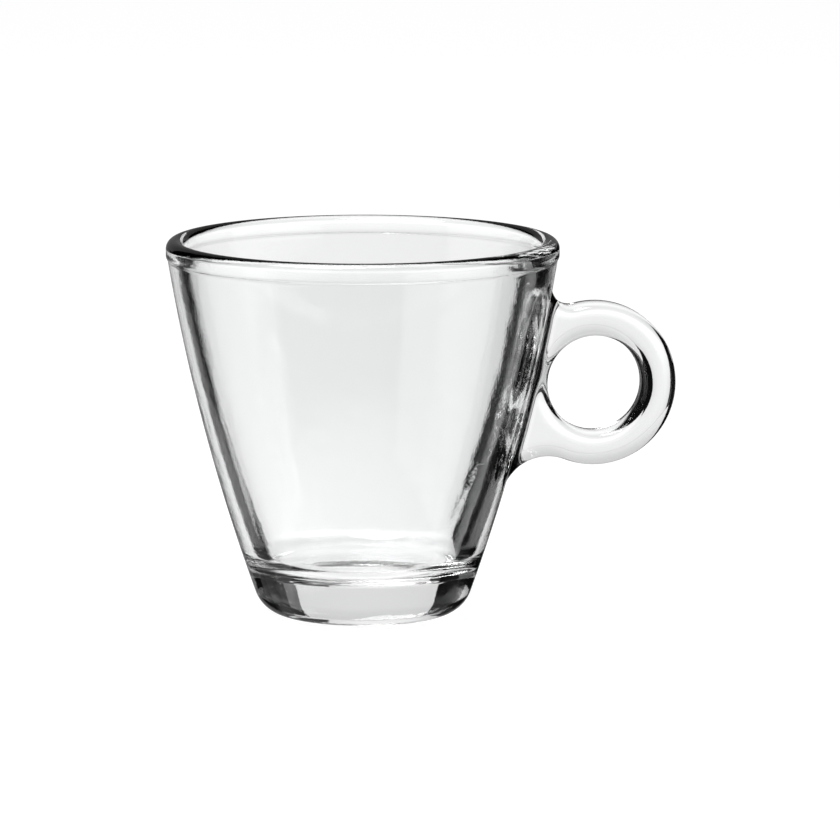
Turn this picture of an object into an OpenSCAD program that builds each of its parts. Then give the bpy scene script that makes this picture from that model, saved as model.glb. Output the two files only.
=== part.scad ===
// Mulled wine mug in clear pressed glass: a heavy-based bowl with a ring handle on its side.
// The origin is on the bowl's axis at the table, +Z is up and the handle stands out along +X.

/* [Bowl] */
// Height from the table to the top of the rim
height = 86.6; // [74:0.1:110]
// Outside diameter of the rim
rim_d = 90; // [80:0.5:110]
// Diameter where the outside wall, carried on down, would meet the table
base_d = 45.6; // [40:0.1:56]
// How far the outside wall bows out of a straight cone
wall_bow = 2; // [0.5:0.1:3.5]
// Rounding of the heel between the wall and the table
heel_r = 8; // [4:0.1:10]

/* [Rim] */
// Thickness of the rim, which is rounded right over
rim_t = 4.2; // [2.6:0.1:5.4]
// How far the rim's bead stands out of the wall below it
rim_lip = 0.5; // [0.2:0.1:1.2]
// Height of the bead, from its lower edge to the top of the rim
rim_band = 5.2; // [4:0.1:9]

/* [Inside] */
// Thickness of the glass at the middle of the floor
floor_t = 10.3; // [7:0.1:16]
// Diameter where the inside wall, carried on down, would meet the floor
floor_d = 42.9; // [36:0.1:48]
// How far the floor dishes down from there to its middle, without the recess
floor_dish = 1.8; // [1:0.1:5]
// Diameter of the round recess in the middle of the floor
recess_d = 22.8; // [14:0.1:26]
// Depth of that recess
recess_depth = 0.4; // [0.3:0.1:2]
// Width of the slope round the recess
recess_slope = 2.1; // [0.8:0.1:3]
// How far the inside wall bows out of a straight cone
inside_bow = 2.2; // [0.5:0.1:3.2]
// Rounding between the floor and the inside wall
corner_r = 6; // [1:0.1:8]

/* [Foot] */
// Diameter of the hollow under the base
punt_d = 26; // [16:0.5:30]
// Depth of that hollow at its middle
punt_depth = 1.2; // [0.4:0.1:3]

/* [Handle] */
// Diameter of the finger hole
hole_d = 22; // [17:0.1:26]
// Width of the ring between its hole and its outside
ring_w = 7.9; // [6.8:0.1:11]
// Thickness of the ring across its flat faces
ring_t = 9; // [7:0.1:12]
// Rounding of the ring's edges
edge_r = 3.2; // [1.5:0.1:4]
// Distance from the top of the rim down to the middle of the ring
ring_drop = 34.3; // [30:0.1:42]
// Glass left between the finger hole and the bowl's wall
web_t = 4; // [2:0.1:6]
// Rounding of the root, where the ring's faces meet the wall
root_r = 3; // [2:0.1:6]
// Rounding over the top of the root
root_top_r = 4.5; // [1.5:0.1:6]
// Rounding under the root
root_under_r = 11; // [5:0.1:13]

/* [Hidden] */
glass = [0.86, 0.9, 0.9, 0.45];
// Straight steps in a long bowed wall, in a small rounding and in a part of the floor's dish
wall_n = 14;
round_n = 8;
dish_n = 4;
$fn = 180;

// Direction of a vector, as an angle from +X
function heading(v) = atan2(v.y, v.x);

// Points along an arc round c, from angle a0 to angle a1
function arc(c, r, a0, a1, n) = [for (i = [0:n]) let (a = a0 + (a1 - a0) * i / n) c + r * [cos(a), sin(a)]];

// Radius and centre of the circle through a and b that bows out to the right of the way from a to b
function bow_r(a, b, bow) = pow(norm(b - a), 2) / (8 * bow) + bow / 2;
function bow_c(a, b, bow) =
    let (way = (b - a) / norm(b - a))
    (a + b) / 2 - [way.y, -way.x] * (bow_r(a, b, bow) - bow);

// Centre of the rounding of radius r inside a wall circle (c, wall) and on the level z
function corner_c(c, wall, z, r) = [c.x + sqrt(pow(wall - r, 2) - pow(z + r - c.y, 2)), z + r];

// Radius of the outside wall at height z
function wall_at(z) = wall_c.x + sqrt(pow(wall_r, 2) - pow(z - wall_c.y, 2));

// Where two circles cross, on the left (side 1) or the right (side -1) of the way from c1 to c2
function crossing(c1, r1, c2, r2, side) =
    let (
        way = (c2 - c1) / norm(c2 - c1),
        along = (pow(r1, 2) - pow(r2, 2) + pow(norm(c2 - c1), 2)) / (2 * norm(c2 - c1)),
        off = sqrt(pow(r1, 2) - pow(along, 2))
    )
    c1 + along * way + side * off * [-way.y, way.x];

// Outside wall: one bowed line from the table up to the bead
wall_foot = [base_d / 2, 0];
wall_top = [rim_d / 2 - rim_lip, height - rim_band];
wall_c = bow_c(wall_foot, wall_top, wall_bow);
wall_r = bow_r(wall_foot, wall_top, wall_bow);
heel_c = corner_c(wall_c, wall_r, 0, heel_r);

// Rim: a full round, and the ease that carries the bead out of the wall
rim_r = rim_t / 2;
rim_c = [rim_d / 2 - rim_r, height - rim_r];
ease_h = (rim_band - rim_r) / 2;

// Inside wall: one bowed line from the floor up into the rim's round
dish_low = floor_t + recess_depth;
inside_foot = [floor_d / 2, dish_low + floor_dish];
rim_inner = rim_c - [rim_r, 0];
rim_lean = heading(rim_inner - bow_c(inside_foot, rim_inner, inside_bow));
inside_top = rim_c + rim_r * [-cos(rim_lean), -sin(rim_lean)];
inside_c = bow_c(inside_foot, inside_top, inside_bow);
inside_r = bow_r(inside_foot, inside_top, inside_bow);

// Floor: a shallow dish, rounded to the inside wall, with a round recess let into its middle
dish_r = (pow(floor_d / 2, 2) + pow(floor_dish, 2)) / (2 * floor_dish);
dish_c = [0, dish_low + dish_r];
floor_c = crossing(inside_c, inside_r - corner_r, dish_c, dish_r - corner_r, -1);
floor_turn = heading(floor_c - dish_c);
recess_out = recess_d / 2 + recess_slope;

// Hollow under the base: a shallow dome
punt_r = (pow(punt_d / 2, 2) + pow(punt_depth, 2)) / (2 * punt_depth);
punt_a = asin(punt_d / 2 / punt_r);

// Ring: its middle follows the wall, so that the web stays as it is set
ring_z = height - ring_drop;
hole_r = hole_d / 2;
ring_r = hole_r + ring_w;
ring_c = [wall_at(ring_z) + web_t + hole_r, ring_z];

// Roundings over and under the root: circles that touch the ring and the wall from outside
over_c = crossing(wall_c, wall_r + root_top_r, ring_c, ring_r + root_top_r, 1);
under_c = crossing(wall_c, wall_r + root_under_r, ring_c, ring_r + root_under_r, -1);

// Directions from the ring's middle to the ends of its free part, and the turns from there to the lines
// that touch the two roundings. Along those lines the root runs down to the wall, and there its seat starts
free_high = heading(over_c - ring_c);
free_low = heading(under_c - ring_c) + 360;
over_turn = asin(root_top_r / (ring_r + root_top_r));
under_turn = asin(root_under_r / (ring_r + root_under_r));
seat_slip = 0.3;
seat_high = free_high + over_turn + seat_slip;
seat_low = free_low - under_turn - seat_slip;

// Share of the seat's length over which the root's flare grows at each end
flare_ease = 0.16;
// Film between the seat and the wall
seat_gap = 0.05;
// Steps round the seat, the roundings at its ends and the free ring, and across the seat
seat_n = 22;
fairing_n = 6;
free_n = 28;
across_n = 6;

// Outline of the bowl's outside, from the edge of the base's flat to the inner side of the rim
function outside_line() = concat(
    arc(heel_c, heel_r, -90, heading(heel_c - wall_c), round_n),
    arc(wall_c, wall_r, heading(heel_c - wall_c), heading(wall_top - wall_c), wall_n),
    [for (i = [1:round_n]) let (u = i / round_n) wall_top + [rim_lip * (1 - cos(180 * u)) / 2, ease_h * u]],
    arc(rim_c, rim_r, 0, 90, round_n),
    arc(rim_c, rim_r, 90, 180 + rim_lean, round_n)
);

// Height of the floor at distance r from the axis
function floor_at(r) =
    let (u = max(0, min(1, (r - recess_d / 2) / recess_slope)))
    dish_c.y - sqrt(pow(dish_r, 2) - pow(r, 2)) - recess_depth * (1 - u * u * (3 - 2 * u));

// Outline of the bowl's inside, from the rim down to the middle of the floor
function inside_line() =
    let (edge = dish_r * cos(floor_turn))
    concat(
        arc(inside_c, inside_r, heading(inside_top - inside_c), heading(floor_c - inside_c), wall_n),
        arc(floor_c, corner_r, heading(floor_c - inside_c), floor_turn, round_n),
        [for (i = [1:dish_n]) let (r = edge + (recess_out - edge) * i / dish_n) [r, floor_at(r)]],
        [for (i = [1:round_n]) let (r = recess_out - recess_slope * i / round_n) [r, floor_at(r)]],
        [for (i = [1:dish_n]) let (r = recess_d / 2 * (1 - i / dish_n)) [r, floor_at(r)]]
    );

// Dome of the hollow under the base, from the axis out to the flat
function punt_line() = arc([0, punt_depth - punt_r], punt_r, 90, 90 - punt_a, round_n);

module bowl() {
    color(glass)
    rotate_extrude()
        polygon(concat(punt_line(), outside_line(), inside_line()));
}

// Distance from the ring's middle to the wall, along direction a and y off the middle plane, by Newton's steps
function to_wall(a, y, d, steps) =
    let (
        z = ring_c.y + d * sin(a),
        wall = wall_at(z) + seat_gap,
        lean = (wall_c.y - z) / (wall_at(z) - wall_c.x),
        depth = sqrt(pow(wall, 2) - pow(y, 2)),
        gap = ring_c.x + d * cos(a) - depth,
        closing = lean * sin(a) * wall / depth - cos(a)
    )
    steps == 0 ? d : to_wall(a, y, d + gap / closing, steps - 1);

// Distance from the ring's middle to the near side of a rounding's circle
function to_circle(a, c, r) =
    let (along = (c - ring_c) * [cos(a), sin(a)])
    along - sqrt(max(0, pow(along, 2) - pow(norm(c - ring_c), 2) + pow(r, 2)));

// Outer end of the handle's section in direction a, y off the middle plane
function reach(a, y) =
    a < free_high || a > free_low ? ring_r
    : a < seat_high ? to_circle(a, over_c, root_top_r)
    : a > seat_low ? to_circle(a, under_c, root_under_r)
    : to_wall(a, y, ring_r, 6);

// How far the root's flare has grown in direction a: 0 on the free ring, 1 along the middle of the seat
function flare(a) =
    let (
        share = (a - seat_high) / (seat_low - seat_high),
        rise = max(0, min(1, share / flare_ease, (1 - share) / flare_ease))
    )
    rise * rise * (3 - 2 * rise);

// Half section of the handle in direction a, as distance out and y: the hole's edge, the flat face,
// then the ring's outer edge or, where it meets the wall, the root's flare
function half_section(a) =
    let (
        half_t = ring_t / 2,
        drop = edge_r - (edge_r + root_r) * flare(a),
        room = reach(a, half_t) - hole_r,
        run_in = min(edge_r, room / 2),
        run_out = min(edge_r + (root_r - edge_r) * flare(a), room - run_in)
    )
    concat(
        [for (i = [0:round_n]) let (u = 90 * i / round_n)
            [hole_r + run_in * (1 - cos(u)), half_t - edge_r * (1 - sin(u))]],
        [for (i = [0:round_n]) let (u = 90 * i / round_n, y = half_t - drop * (1 - cos(u)))
            [reach(a, y) - run_out * (1 - sin(u)), y]]
    );

// Whole section in direction a: the half section, the outer end across to the other side, and its mirror image
function section(a) =
    let (
        half = half_section(a),
        edge = half[len(half) - 1].y
    )
    concat(
        half,
        [for (i = [1:across_n - 1]) let (y = edge * (1 - 2 * i / across_n)) [reach(a, y), y]],
        [for (i = [len(half) - 1:-1:0]) [half[i].x, -half[i].y]]
    );

// Turn from the end of the free ring to a point a share u along a rounding of radius r
function fairing_turn(r, turn, u) =
    let (v = (90 - turn) * u)
    atan2(r * sin(v), ring_r + r - r * cos(v));

// Directions of the sections, once round the finger hole
function section_directions() = concat(
    [for (i = [0:fairing_n]) free_high + fairing_turn(root_top_r, over_turn, i / fairing_n)],
    [for (i = [0:seat_n]) seat_high + (seat_low - seat_high) * i / seat_n],
    [for (i = [fairing_n:-1:0]) free_low - fairing_turn(root_under_r, under_turn, i / fairing_n)],
    [for (i = [1:free_n - 1]) free_low + (free_high + 360 - free_low) * i / free_n]
);

// The handle is one section carried round the finger hole and closed on itself
module handle() {
    rings = [for (a = section_directions()) [for (p = section(a)) [
        ring_c.x + p.x * cos(a), p.y, ring_c.y + p.x * sin(a)
    ]]];
    n = len(rings[0]);
    m = len(rings);
    corners = [for (r = rings) each r];
    faces = [for (i = [0:m - 1], k = [0:n - 1])
        let (
            j = (i + 1) % m,
            l = (k + 1) % n
        )
        each [[i * n + k, j * n + k, j * n + l], [i * n + k, j * n + l, i * n + l]]
    ];
    color(glass)
    polyhedron(points = corners, faces = faces);
}

bowl();
handle();
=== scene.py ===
import math

import bmesh
import bpy
import numpy as np
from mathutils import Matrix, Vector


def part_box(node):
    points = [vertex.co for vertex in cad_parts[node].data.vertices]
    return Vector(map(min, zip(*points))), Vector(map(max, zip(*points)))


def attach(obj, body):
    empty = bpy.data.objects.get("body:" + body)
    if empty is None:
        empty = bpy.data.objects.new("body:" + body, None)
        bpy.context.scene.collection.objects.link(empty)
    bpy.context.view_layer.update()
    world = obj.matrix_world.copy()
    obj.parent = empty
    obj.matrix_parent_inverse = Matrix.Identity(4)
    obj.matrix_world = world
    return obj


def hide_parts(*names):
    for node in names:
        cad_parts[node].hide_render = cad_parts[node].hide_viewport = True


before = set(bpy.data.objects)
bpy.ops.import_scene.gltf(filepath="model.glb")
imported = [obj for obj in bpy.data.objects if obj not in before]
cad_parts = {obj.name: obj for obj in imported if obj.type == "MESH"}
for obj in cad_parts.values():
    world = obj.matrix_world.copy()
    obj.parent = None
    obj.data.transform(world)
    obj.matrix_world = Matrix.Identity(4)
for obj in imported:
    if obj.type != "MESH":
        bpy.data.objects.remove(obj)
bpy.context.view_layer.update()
mm = 0.001
cubicCm = 1e-6


# Grid helpers, all in millimetres until a mesh is made

def arcPoints(centre, radius, start, end, steps):
    # centre + radius * (cos a, sin a), a going evenly from start to end
    a = np.linspace(start, end, steps + 1)
    return np.stack([centre[0] + radius * np.cos(a), centre[1] + radius * np.sin(a)], 1)


def heading(v):
    # angle of a direction, from the first axis towards the second
    return math.atan2(v[1], v[0])


def bowCircle(low, high, bow):
    # circle through low and high that stands out of their chord by bow, on the right going up
    low, high = np.array(low), np.array(high)
    chord = np.linalg.norm(high - low)
    way = (high - low) / chord
    radius = chord ** 2 / (8 * bow) + bow / 2
    return (low + high) / 2 - np.array([way[1], -way[0]]) * (radius - bow), radius


def cornerCentre(wall, level, radius):
    # middle of a rounding inside a wall circle and on a level
    centre, wallRadius = wall
    z = level + radius
    return np.array([centre[0] + math.sqrt((wallRadius - radius) ** 2 - (z - centre[1]) ** 2), z])


def circlesMeet(first, second, side):
    # where two circles cross, left (side 1) or right (side -1) of the way between their middles
    (c1, r1), (c2, r2) = first, second
    span = np.linalg.norm(c2 - c1)
    way = (c2 - c1) / span
    along = (r1 ** 2 - r2 ** 2 + span ** 2) / (2 * span)
    return c1 + along * way + side * math.sqrt(r1 ** 2 - along ** 2) * np.array([-way[1], way[0]])


def ease(t):
    # 3 t^2 - 2 t^3, held at 0 and 1 outside
    t = np.clip(t, 0, 1)
    return t * t * (3 - 2 * t)


def quads(grid, closeRows=False, closeColumns=False):
    # corner numbers in rows and columns -> one quad per cell
    if closeRows:
        grid = np.concatenate([grid, grid[:1]], 0)
    if closeColumns:
        grid = np.concatenate([grid, grid[:, :1]], 1)
    return np.stack([grid[:-1, :-1], grid[:-1, 1:], grid[1:, 1:], grid[1:, :-1]], -1)


# Bowl: one outline turned about Z

bowlLow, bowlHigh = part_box("bowl")
bowl = {
    "height": bowlHigh[2] / mm,
    "rimRadius": bowlHigh[0] / mm,
    "footRadius": 22.8,
    "wallBow": 2.0,
    "heelRound": 8.0,
    "rimThickness": 4.2,
    "rimLip": 0.5,
    "rimBand": 5.2,
    "floorThickness": 10.3,
    "floorRadius": 21.45,
    "floorDish": 1.8,
    "recessRadius": 11.4,
    "recessSlope": 2.1,
    "recessDepth": 0.4,
    "insideBow": 2.2,
    "cornerRound": 6.0,
    "puntRadius": 13.0,
    "puntDepth": 1.2,
    "columns": 240,
    # steps along each stretch of the outline
    "puntSteps": 12,
    "bearingSteps": 4,
    "heelSteps": 18,
    "lowWallSteps": 14,
    "highWallSteps": 3,
    "beadSteps": 8,
    "rimSteps": 12,
    "insideSteps": 64,
    "cornerSteps": 12,
    "dishSteps": 60,
}

footPoint = (bowl["footRadius"], 0.0)
wallTop = (bowl["rimRadius"] - bowl["rimLip"], bowl["height"] - bowl["rimBand"])
wallCentre, wallRadius = bowCircle(footPoint, wallTop, bowl["wallBow"])
heelCentre = cornerCentre((wallCentre, wallRadius), 0, bowl["heelRound"])
rimRound = bowl["rimThickness"] / 2
rimCentre = np.array([bowl["rimRadius"] - rimRound, bowl["height"] - rimRound])
dishLow = bowl["floorThickness"] + bowl["recessDepth"]
insideFoot = (bowl["floorRadius"], dishLow + bowl["floorDish"])
rimInner = rimCentre - (rimRound, 0)
rimLean = heading(rimInner - bowCircle(insideFoot, rimInner, bowl["insideBow"])[0])
insideTop = rimCentre - rimRound * np.array([math.cos(rimLean), math.sin(rimLean)])
insideCentre, insideRadius = bowCircle(insideFoot, insideTop, bowl["insideBow"])
dishRadius = (bowl["floorRadius"] ** 2 + bowl["floorDish"] ** 2) / (2 * bowl["floorDish"])
dishCentre = np.array([0, dishLow + dishRadius])
floorCentre = circlesMeet(
    (insideCentre, insideRadius - bowl["cornerRound"]), (dishCentre, dishRadius - bowl["cornerRound"]), -1)
dishTurn = heading(floorCentre - dishCentre)
puntSphere = (bowl["puntRadius"] ** 2 + bowl["puntDepth"] ** 2) / (2 * bowl["puntDepth"])
puntTurn = math.asin(bowl["puntRadius"] / puntSphere)


def wallAt(z):
    # radius of the outside wall at a height
    return wallCentre[0] + np.sqrt(wallRadius ** 2 - (z - wallCentre[1]) ** 2)


def wallTurn(z):
    # angle of that height on the wall's circle
    return math.asin((z - wallCentre[1]) / wallRadius)


# Handle: a ring with rounded edges, let into the wall and filleted to it

handle = {
    "holeRadius": 11.0,
    "width": 7.9,
    "thickness": 9.0,
    "edgeRound": 3.2,
    "drop": 34.3,
    "web": 4.0,
    "sideFillet": 2.6,
    "topFillet": 4.5,
    "underFillet": 11.0,
    "topRun": 5.0,  # over these runs the side fillet fades in from the wall
    "underRun": 8.0,
    "leastFillet": 0.001,
    "patchLow": 23.0,  # the wall between these heights is meshed with the handle
    "patchHigh": 79.5,
    "patchColumns": 24,
    "patchLayers": 16,
    "patchCrowding": 1.2,
    "seatRows": 56,
    "seatBlend": 0.14,
    "freeRows": 90,
    "fairingRows": 12,
    "holeSteps": 24,
    "faceSteps": 26,
}

ringRadius = handle["holeRadius"] + handle["width"]
ringZ = bowl["height"] - handle["drop"]
ringX = float(wallAt(ringZ)) + handle["web"] + handle["holeRadius"]
ringMiddle = np.array([ringX, ringZ])
halfThick = handle["thickness"] / 2

# circles that touch the ring and the wall from outside, over the root and under it:
# middle, radius, way round
fairings = []
for name, side in (("topFillet", 1), ("underFillet", -1)):
    radius = handle[name]
    touching = circlesMeet((wallCentre, wallRadius + radius), (ringMiddle, ringRadius + radius), side)
    fairings.append((touching, radius, -side))


def bowlOutline():
    # from the middle of the hollow under the base, out, up the wall, over the rim and in to the middle
    # of the floor; also gives the row where the handle's part of the wall begins
    down, up = -math.pi / 2, math.pi / 2
    lowTurn, highTurn = wallTurn(handle["patchLow"]), wallTurn(handle["patchHigh"])
    heelTurn = heading(heelCentre - wallCentre)
    topTurn = heading(wallTop - wallCentre)
    insideTurn = heading(insideTop - insideCentre)
    floorTurn = heading(floorCentre - insideCentre)
    puntMiddle = (0, bowl["puntDepth"] - puntSphere)
    bearing = np.linspace(bowl["puntRadius"], heelCentre[0], bowl["bearingSteps"] + 1)[1:-1]
    rise = (bowl["rimBand"] - rimRound) / 2
    share = np.linspace(0, 1, bowl["beadSteps"] + 1)[1:]
    bead = np.stack([
        wallTop[0] + bowl["rimLip"] * (1 - np.cos(math.pi * share)) / 2,
        wallTop[1] + rise * share,
    ], 1)
    dish = arcPoints(dishCentre, dishRadius, dishTurn, down, bowl["dishSteps"])[1:-1]
    recess = 1 - ease((dish[:, 0] - bowl["recessRadius"]) / bowl["recessSlope"])
    dish[:, 1] -= bowl["recessDepth"] * recess
    underSeat = [
        arcPoints(puntMiddle, puntSphere, up, up - puntTurn, bowl["puntSteps"])[1:],
        np.stack([bearing, np.zeros(len(bearing))], 1),
        arcPoints(heelCentre, bowl["heelRound"], down, heelTurn, bowl["heelSteps"]),
        arcPoints(wallCentre, wallRadius, heelTurn, lowTurn, bowl["lowWallSteps"])[1:],
    ]
    seatAndOver = [
        arcPoints(wallCentre, wallRadius, lowTurn, highTurn, handle["seatRows"])[1:],
        arcPoints(wallCentre, wallRadius, highTurn, topTurn, bowl["highWallSteps"])[1:],
        bead,
        np.array([[bowl["rimRadius"], (wallTop[1] + rise + rimCentre[1]) / 2]]),
        arcPoints(rimCentre, rimRound, 0, up, bowl["rimSteps"]),
        arcPoints(rimCentre, rimRound, up, math.pi + rimLean, bowl["rimSteps"])[1:],
        arcPoints(insideCentre, insideRadius, insideTurn, floorTurn, bowl["insideSteps"])[1:],
        arcPoints(floorCentre, bowl["cornerRound"], floorTurn, dishTurn, bowl["cornerSteps"])[1:],
        dish,
    ]
    return np.concatenate(underSeat + seatAndOver), sum(len(p) for p in underSeat) - 1


def crossed(a, b):
    # a x b in the plane: positive where b lies to the left of a
    return a[0] * b[1] - a[1] * b[0]


def roundedMeet(first, second, edge):
    # what two shapes share: the larger distance, but round an edge the distance from its rounding's middle
    both = np.stack([first, second])
    return np.minimum(both.max(0), -edge) + np.hypot(*np.maximum(both + edge, 0))


def filletedJoin(first, second, fillet):
    # two shapes joined: the smaller distance, but in the corner between them that of a round that fills it
    both = np.stack([first, second])
    return np.maximum(both.min(0), fillet) - np.hypot(*np.maximum(fillet - both, 0))


def glassGap(p):
    # distance outside the glass, in rho = sqrt(x^2 + y^2) and z: ring and fairings, cut to a slab in y,
    # joined to the wall by the root's fillet, then the finger hole cut through
    place = np.stack([np.hypot(p[:, 0], p[:, 1]), p[:, 2]])
    wall = np.hypot(*(place - wallCentre[:, None])) - wallRadius
    away = np.hypot(*(place - ringMiddle[:, None]))
    ring = away - ringRadius
    fillet = handle["sideFillet"]
    for (touching, radius, way), run in zip(fairings, (handle["topRun"], handle["underRun"])):
        v = place - touching[:, None]
        toRing, toWall = ringMiddle - touching, wallCentre - touching
        pastRing = way * crossed(toRing, v)
        beforeWall = way * crossed(v, toWall) / np.linalg.norm(toWall)
        corner = (pastRing > 0) & (beforeWall > 0) & (way * (ringZ - place[1]) > 0)
        ring = np.where(corner, radius - np.hypot(*v), ring)
        fillet = fillet * ease(beforeWall / run)
    slab = roundedMeet(ring, np.abs(p[:, 1]) - halfThick, handle["edgeRound"])
    joined = filletedJoin(wall, slab, np.maximum(fillet, handle["leastFillet"]))
    return roundedMeet(joined, handle["holeRadius"] - away, handle["edgeRound"])


def slope(p, step=0.01):
    # gradient of glassGap by differences
    moves = np.eye(3) * step
    return np.stack([(glassGap(p + m) - glassGap(p - m)) / (2 * step) for m in moves], 1)


def settle(p, rounds=8, leastSlope=0.05):
    # Newton's steps down the gradient, on to the glass
    for _ in range(rounds):
        g = slope(p)
        p = p - (glassGap(p) / np.maximum((g ** 2).sum(1), leastSlope))[:, None] * g
    return p


def reachCircle(turn, centre, radius):
    # distance from the ring's middle to the near side of a circle, along direction turn
    off = (centre - ringMiddle)[:, None]
    along = off[0] * np.cos(turn) + off[1] * np.sin(turn)
    return along - np.sqrt(np.maximum(along ** 2 - (off ** 2).sum() + radius ** 2, 0))


def fairingTurn(radius, share):
    # turn from where a fairing leaves the ring to a share of the way to where a line from the ring's
    # middle touches it
    v = share * (math.pi / 2 - math.asin(radius / (ringRadius + radius)))
    return np.arctan2(radius * np.sin(v), ringRadius + radius - radius * np.cos(v))


def ringSections():
    # turn and reach of the sections once round the finger hole: the seat's first, from the top down,
    # then the lower fairing's, the free ring's and the upper fairing's
    (over, overRadius, _), (under, underRadius, _) = fairings
    freeHigh, freeLow = heading(over - ringMiddle), heading(under - ringMiddle) % (2 * math.pi)
    part = np.linspace(0, 1, handle["fairingRows"] + 1)
    lowTurn = freeLow - fairingTurn(underRadius, part[::-1])
    highTurn = freeHigh + fairingTurn(overRadius, part)
    seatTurn = np.linspace(highTurn[-1], lowTurn[0], handle["seatRows"] + 1)
    ringTurn = np.linspace(freeLow, freeHigh + 2 * math.pi, handle["freeRows"] + 1)
    turn = np.concatenate([seatTurn, lowTurn[1:], ringTurn[1:], highTurn[1:-1] + 2 * math.pi])

    # near its two ends the seat's reach passes over to the fairings'
    lowEnd, highEnd = reachCircle(lowTurn, under, underRadius), reachCircle(highTurn, over, overRadius)
    along, blend = np.linspace(0, 1, handle["seatRows"] + 1), handle["seatBlend"]
    nearLow, nearHigh = ease((along - 1 + blend) / blend), ease((blend - along) / blend)
    seatEnd = reachCircle(seatTurn, wallCentre, wallRadius) * (1 - nearLow - nearHigh)
    seatEnd += lowEnd[0] * nearLow + highEnd[-1] * nearHigh
    freeEnd = np.full(handle["freeRows"], ringRadius)
    return turn, np.concatenate([seatEnd, lowEnd[1:], freeEnd, highEnd[1:-1]])


def ringGrid():
    # each section crosses the finger hole's side, goes out over one face, across its outer end and
    # back over the other face
    turn, reach = ringSections()
    holeSteps, faceSteps, across = handle["holeSteps"], handle["faceSteps"], handle["patchColumns"]
    faceShare = (1 - np.cos(np.linspace(0, math.pi, faceSteps + 1))) / 2
    share = np.concatenate([np.zeros(holeSteps), faceShare[:-1], np.ones(across), faceShare[:0:-1]])
    y = np.concatenate([
        np.linspace(-halfThick, halfThick, holeSteps + 1)[:-1],
        np.full(faceSteps, halfThick),
        np.linspace(halfThick, -halfThick, across + 1)[:-1],
        np.full(faceSteps, -halfThick),
    ])
    away = handle["holeRadius"] + share * (reach - handle["holeRadius"])[:, None]
    rho = ringX + away * np.cos(turn)[:, None]
    z = ringZ + away * np.sin(turn)[:, None]
    return np.stack([np.sqrt(rho ** 2 - y ** 2), np.broadcast_to(y, away.shape), z], -1)


def seatPatch(seat, gap):
    # the wall round the seat, in layers from the seat's edge out to the gap left in the shell:
    # turn about Z, height and distance off the wall go from one edge to the other
    layers = handle["patchLayers"]
    step = (np.arange(1, layers) / layers)[:, None] ** handle["patchCrowding"]
    ends = []
    for p in (seat, gap):
        off = np.hypot(p[:, 0], p[:, 1]) - wallAt(p[:, 2])
        ends.append(np.stack([np.arctan2(p[:, 1], p[:, 0]), p[:, 2], off]))
    turn, z, off = ends[0][:, None] + step * (ends[1] - ends[0])[:, None]
    rho = wallAt(z) + off * (1 - step)
    return np.stack([rho * np.cos(turn), rho * np.sin(turn), z], -1)


def glassMesh():
    # the turned outline, the ring and the patch between them, as corners, fours and threes of one skin
    outline, patchRow = bowlOutline()
    rows, columns = len(outline), bowl["columns"]
    turn = np.arange(columns) * 2 * math.pi / columns
    shell = np.stack([
        outline[:, :1] * np.cos(turn),
        outline[:, :1] * np.sin(turn),
        np.repeat(outline[:, 1:], columns, 1),
    ], -1).reshape(-1, 3)
    ring = ringGrid()
    shellNumber = np.arange(rows * columns).reshape(rows, columns)
    ringNumber = len(shell) + np.arange(ring[..., 0].size).reshape(ring.shape[:2])
    ring = ring.reshape(-1, 3)

    # the shell is left open round the root, and the ring along its seat
    half, seatRows = handle["patchColumns"] // 2, handle["seatRows"]
    low, high = patchRow, patchRow + seatRows
    first = handle["holeSteps"] + handle["faceSteps"]
    last = first + handle["patchColumns"]
    onShell = np.ones((rows - 1, columns), bool)
    onShell[low:high, :half] = False
    onShell[low:high, -half:] = False
    onRing = np.ones(ringNumber.shape, bool)
    onRing[:seatRows, first:last] = False
    shellQuads = quads(shellNumber, closeColumns=True)[onShell]
    ringQuads = quads(ringNumber, closeRows=True, closeColumns=True)[onRing]

    # the edges of these two openings, in step with each other
    seatLoop = np.concatenate([
        ringNumber[:seatRows, first],
        ringNumber[seatRows, first:last],
        ringNumber[seatRows:0:-1, last],
        ringNumber[0, last:first:-1],
    ])
    columnSpan = np.arange(half, -half, -1)
    gapLoop = np.concatenate([
        shellNumber[high:low:-1, half],
        shellNumber[low, columnSpan],
        shellNumber[low:high, -half],
        shellNumber[high, -columnSpan],
    ])
    corners = np.concatenate([shell, ring])
    patch = seatPatch(corners[seatLoop], corners[gapLoop])
    patchNumber = len(corners) + np.arange(patch[..., 0].size).reshape(patch.shape[:2])
    patchQuads = quads(np.concatenate([seatLoop[None], patchNumber, gapLoop[None]]), closeColumns=True)

    # the handle's corners settle on to the glass, and a fan closes each pole
    root = settle(np.concatenate([ring, patch.reshape(-1, 3)]))
    poles = np.array([[0, 0, bowl["puntDepth"]], [0, 0, bowl["floorThickness"]]])
    corners = np.concatenate([shell, root, poles])
    poleNumber = len(corners) - len(poles) + np.arange(len(poles))
    fans = []
    for pole, edge in zip(poleNumber, (shellNumber[0], shellNumber[-1])):
        fans.append(np.stack([np.full(columns, pole), edge, np.roll(edge, -1)], 1))
    fours = np.concatenate([q.reshape(-1, 4) for q in (shellQuads, ringQuads, patchQuads)])
    return corners, fours, np.concatenate(fans)


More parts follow.
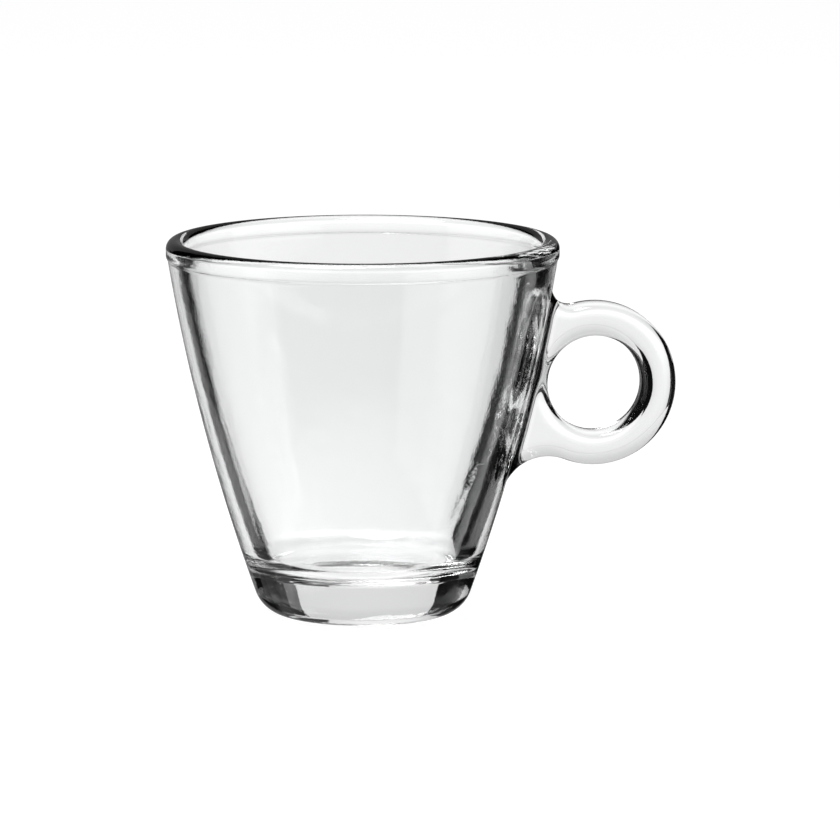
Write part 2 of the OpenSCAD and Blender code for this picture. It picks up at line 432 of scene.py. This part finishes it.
def pieceFrom(name, corners, fours, threes, material):
    # drops corners that no face uses, makes the mesh in metres and turns its faces outwards
    used, numbers = np.unique(np.concatenate([fours.ravel(), threes.ravel()]), return_inverse=True)
    fours = numbers[:fours.size].reshape(-1, 4)
    threes = numbers[fours.size:].reshape(-1, 3)
    mesh = bpy.data.meshes.new(name)
    mesh.from_pydata((corners[used] * mm).tolist(), [], fours.tolist() + threes.tolist())
    mesh.polygons.foreach_set("use_smooth", np.ones(len(mesh.polygons), bool))
    work = bmesh.new()
    work.from_mesh(mesh)
    bmesh.ops.recalc_face_normals(work, faces=work.faces)
    openEdges = sum(not e.is_manifold for e in work.edges)
    print(name, "corners", len(mesh.vertices), "faces", len(mesh.polygons), "open edges", openEdges,
          "volume cm3", round(work.calc_volume() / cubicCm, 2))
    work.to_mesh(mesh)
    work.free()
    piece = bpy.data.objects.new(name, mesh)
    bpy.context.scene.collection.objects.link(piece)
    mesh.materials.append(material)
    return piece


# Shader sums: a socket that takes the usual operators

class Wire:
    def __init__(self, tree, socket=None):
        self.tree = tree
        self.socket = socket

    def node(self, kind, settings=None, inputs=None, output=0):
        # a new node with its settings, then the values or links of its sockets
        made = self.tree.nodes.new(kind)
        for name, value in (settings or {}).items():
            if name == "stops":
                self.setStops(made.color_ramp, value)
            else:
                setattr(made, name, value)
        for name, value in (inputs or {}).items():
            if isinstance(value, Wire):
                self.tree.links.new(value.socket, made.inputs[name])
            else:
                made.inputs[name].default_value = value
        return Wire(self.tree, made.outputs[output] if made.outputs else None)

    def setStops(self, ramp, stops):
        while len(ramp.elements) < len(stops):
            ramp.elements.new(1)
        for element, (place, colour) in zip(ramp.elements, stops):
            element.position = place
            element.color = colour

    def output(self, name):
        # another output of the same node
        return Wire(self.tree, self.socket.node.outputs[name])

    def sum(self, operation, *values):
        return self.node("ShaderNodeMath", {"operation": operation}, dict(enumerate(values)))

    def __add__(self, other):
        return self.sum("ADD", self, other)

    def __sub__(self, other):
        return self.sum("SUBTRACT", self, other)

    def __mul__(self, other):
        return self.sum("MULTIPLY", self, other)

    def __truediv__(self, other):
        return self.sum("DIVIDE", self, other)

    def __rsub__(self, other):
        return self.sum("SUBTRACT", other, self)

    def __rtruediv__(self, other):
        return self.sum("DIVIDE", other, self)

    __radd__ = __add__
    __rmul__ = __mul__

    def larger(self, other):
        return self.sum("MAXIMUM", self, other)

    def between(self, low, high, lowValue=0.0, highValue=1.0):
        # smooth step from lowValue at low to highValue at high
        return self.node("ShaderNodeMapRange", {"interpolation_type": "SMOOTHSTEP"}, {
            "Value": self, "From Min": low, "From Max": high, "To Min": lowValue, "To Max": highValue})


def newMaterial(name):
    material = bpy.data.materials.new(name)
    material.use_nodes = True
    material.node_tree.nodes.clear()
    return material, Wire(material.node_tree)


glassFinish = {
    "colour": (0.99, 0.995, 0.995, 1),
    "bending": 1.52,
    # noises of the surface, and how high each stands in steps of the bump
    "grain": ({"Scale": 1900.0, "Detail": 1.0, "Roughness": 0.5}, 0.5),
    "wave": ({"Scale": 260.0, "Detail": 0.0}, 1.5),
    "pits": ({"Scale": 1100.0, "Detail": 2.0, "Roughness": 0.6}, 9.0),
    "bumpStep": 0.00001,
    "underside": (0.0006, 0.0016),  # the pits fade out between these heights, in metres
}


def pressedGlass():
    # clear soda glass: a faint grain left by the press mould, coarser on the face that stands on the table
    material, w = newMaterial("pressedGlass")
    place = w.node("ShaderNodeTexCoord", output="Object")
    level = w.node("ShaderNodeSeparateXYZ", None, {"Vector": place}, "Z")

    def noise(name):
        settings, height = glassFinish[name]
        return w.node("ShaderNodeTexNoise", None, {"Vector": place, **settings}) * height

    underside = level.between(*glassFinish["underside"], 1.0, 0.0)
    height = noise("grain") + noise("wave") + noise("pits") * underside
    bump = w.node("ShaderNodeBump", None, {
        "Height": height, "Strength": 1.0, "Distance": glassFinish["bumpStep"]})
    glass = w.node("ShaderNodeBsdfPrincipled", None, {
        "Base Color": glassFinish["colour"], "Roughness": 0.0, "IOR": glassFinish["bending"],
        "Transmission Weight": 1.0, "Normal": bump})
    w.node("ShaderNodeOutputMaterial", None, {"Surface": glass})
    return material


mug = pieceFrom("mug", *glassMesh(), pressedGlass())
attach(mug, "root")
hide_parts("bowl", "handle")


# Studio: white papers round the mug with black between them, a white table below

studio = {
    # middle and half width round Z, lowest and highest rise, in degrees, fall to the sides,
    # strength through glass and as a reflection
    "papers": [
        (86.5, 20.5, -40, -15.5, 0.2, 1.0, 0.2),  # sweep behind the mug, its lower part
        (88.5, 18.5, -17.5, 2, 0.2, 1.0, 0.2),  # and its upper part
        (84, 29.5, 2, 60, 0.0, 1.0, 0.2),  # wider paper over it
        (51, 4, 2, 24, 0.0, 0.2, 0.0),  # grey strip beside that
        (178, 26, -38, 16, 0.3, 0.75, 0.85),  # left
        (322, 34, -38, 10, 0.3, 0.85, 0.85),  # front, on the handle's side
        (154, 20, -40, -4, 0.0, 0.7, 0.3),  # back left
        (129, 5, -28, -20, 0.0, 0.5, 0.2),  # grey strip beside that
        (141, 14, -4, 10, 0.0, 0.15, 0.1),  # and over it
        (14, 14, -40, 10, 0.0, 0.08, 0.05),  # dim paper past the handle
        (258, 60, 26, 60, 0.0, 0.0, 0.7),  # soft box over the front, for reflections alone
    ],
    "table": (1.0, 0.25),
    "edge": 0.8,
    "dark": 0.004,
    "tableBelow": (-40.0, -34.0),
    # rise and brightness of the white paper, from the table up
    "levels": [
        (-90, 0.8), (-62, 0.95), (-48, 1.1), (-40, 1.0), (-33, 0.9), (-27, 0.95), (-21, 1.2), (-18, 1.18),
        (-15, 1.1), (-12, 1.05), (-9, 0.98), (0, 0.92), (6, 0.82), (12, 0.76), (20, 0.7), (60, 0.66),
    ],
    "brightest": 2.0,  # what the top of the ramp of levels stands for
    "floorGlow": 0.93,
    "floorPaper": 0.25,
    "floorSize": 6.0,
}


def window(turn, rise, place):
    # 1 inside a turn and rise, falling a little to the sides, 0 outside, with a soft edge
    middle, half, low, high, fall = place
    halfTurn = math.degrees(math.pi)
    soft = studio["edge"] / 2
    off = turn.sum("ABSOLUTE", turn.sum("WRAP", turn - middle, halfTurn, -halfTurn))
    across = off.between(half - soft, half + soft, 1.0, 0.0)
    aboveLow = rise.between(low - soft, low + soft)
    belowHigh = rise.between(high - soft, high + soft, 1.0, 0.0)
    share = off / half
    return across * aboveLow * belowHigh * (1 - share * share * fall)


def studioLight(w, x, y, z, mirrored):
    # how bright the studio is in a direction: the papers, the table all round below them, else dark
    turn = w.sum("ARCTAN2", y, x) * math.degrees(1)
    rise = w.sum("ARCSINE", z) * math.degrees(1)
    through, reflected = studio["table"]
    paper = rise.between(*studio["tableBelow"], 1.0, 0.0) * (mirrored * (reflected - through) + through)
    for *place, through, reflected in studio["papers"]:
        paper = paper.larger(window(turn, rise, place) * (mirrored * (reflected - through) + through))
    low, high = studio["levels"][0][0], studio["levels"][-1][0]
    stops = []
    for angle, brightness in studio["levels"]:
        grey = brightness / studio["brightest"]
        stops.append(((angle - low) / (high - low), (grey, grey, grey, 1)))
    ramp = w.node("ShaderNodeValToRGB", {"stops": stops}, {"Fac": (rise - low) / (high - low)})
    return ramp * studio["brightest"] * paper + studio["dark"]


def whiteWorld():
    # white for the camera, the studio for light in the glass
    world = bpy.data.worlds.new("studio")
    bpy.context.scene.world = world
    world.use_nodes = True
    world.node_tree.nodes.clear()
    w = Wire(world.node_tree)
    way = w.node("ShaderNodeTexCoord", output="Generated")
    parts = w.node("ShaderNodeSeparateXYZ", None, {"Vector": way})
    path = w.node("ShaderNodeLightPath")
    camera = path.output("Is Camera Ray")
    mirrored = path.output("Is Glossy Ray") * (1 - path.output("Is Transmission Ray"))
    light = studioLight(w, *(parts.output(axis) for axis in "XYZ"), mirrored)
    background = w.node("ShaderNodeBackground", None, {
        "Color": (1, 1, 1, 1), "Strength": camera + (1 - camera) * light})
    w.node("ShaderNodeOutputWorld", None, {"Surface": background})


def sweepFloor():
    # white paper that glows, so that it stays white and still takes the mug's shadow
    material, w = newMaterial("sweepFloor")
    glow = w.node("ShaderNodeEmission", None, {"Color": (1, 1, 1, 1), "Strength": studio["floorGlow"]})
    level = studio["floorPaper"]
    paper = w.node("ShaderNodeBsdfDiffuse", None, {"Color": (level, level, level, 1)})
    seen = w.node("ShaderNodeAddShader", None, {0: glow, 1: paper})
    w.node("ShaderNodeOutputMaterial", None, {"Surface": seen})
    size = studio["floorSize"] / 2
    mesh = bpy.data.meshes.new("floor")
    square = [(-size, -size, 0), (size, -size, 0), (size, size, 0), (-size, size, 0)]
    mesh.from_pydata(square, [], [(0, 1, 2, 3)])
    floor = bpy.data.objects.new("floor", mesh)
    floor.data.materials.append(material)
    floor.visible_transmission = False  # light in the glass meets the studio's table instead
    floor.visible_glossy = False
    bpy.context.scene.collection.objects.link(floor)


whiteWorld()
sweepFloor()

overheadLamp = {
    "energy": 12.0,
    "size": 0.8,
    "place": (-0.3, -0.2, 1.2),
}

lamp = bpy.data.lights.new("overhead", "AREA")
lamp.energy = overheadLamp["energy"]
lamp.size = overheadLamp["size"]
overhead = bpy.data.objects.new("overhead", lamp)
overhead.location = overheadLamp["place"]
overhead.rotation_mode = "QUATERNION"
overhead.rotation_quaternion = (-overhead.location).to_track_quat("-Z", "Y")
bpy.context.scene.collection.objects.link(overhead)
print("studio ready")


# Camera

view = {
    "distance": 2000.0,
    "elevation": 8.68,
    "azimuth": -8.7,
    "aside": 13.08,
    "level": 44.7,
    "focalPixels": 8727.0,
    "framePixels": 840.0,
    "sensorWidth": 36.0,
    "clipEnd": 20.0,
    # how often light may be mirrored and bent; with more mirroring in the glass the rim turns grey
    "bounces": {"max_bounces": 24, "glossy_bounces": 7, "transmission_bounces": 24},
}

cameraData = bpy.data.cameras.new("camera")
cameraData.sensor_width = view["sensorWidth"]
cameraData.lens = view["focalPixels"] * view["sensorWidth"] / view["framePixels"]
cameraData.clip_end = view["clipEnd"]
camera = bpy.data.objects.new("camera", cameraData)
az, el = math.radians(view["azimuth"]), math.radians(view["elevation"])
target = np.array([view["aside"] * math.cos(az), view["aside"] * math.sin(az), view["level"]])
back = np.array([math.sin(az) * math.cos(el), -math.cos(az) * math.cos(el), math.sin(el)])
camera.location = (target + back * view["distance"]) * mm
camera.rotation_euler = (math.pi / 2 - el, 0, az)
bpy.context.scene.collection.objects.link(camera)
bpy.context.scene.camera = camera
bpy.context.scene.view_settings.view_transform = "Standard"
for kind, count in view["bounces"].items():
    setattr(bpy.context.scene.cycles, kind, count)
print("camera ready")
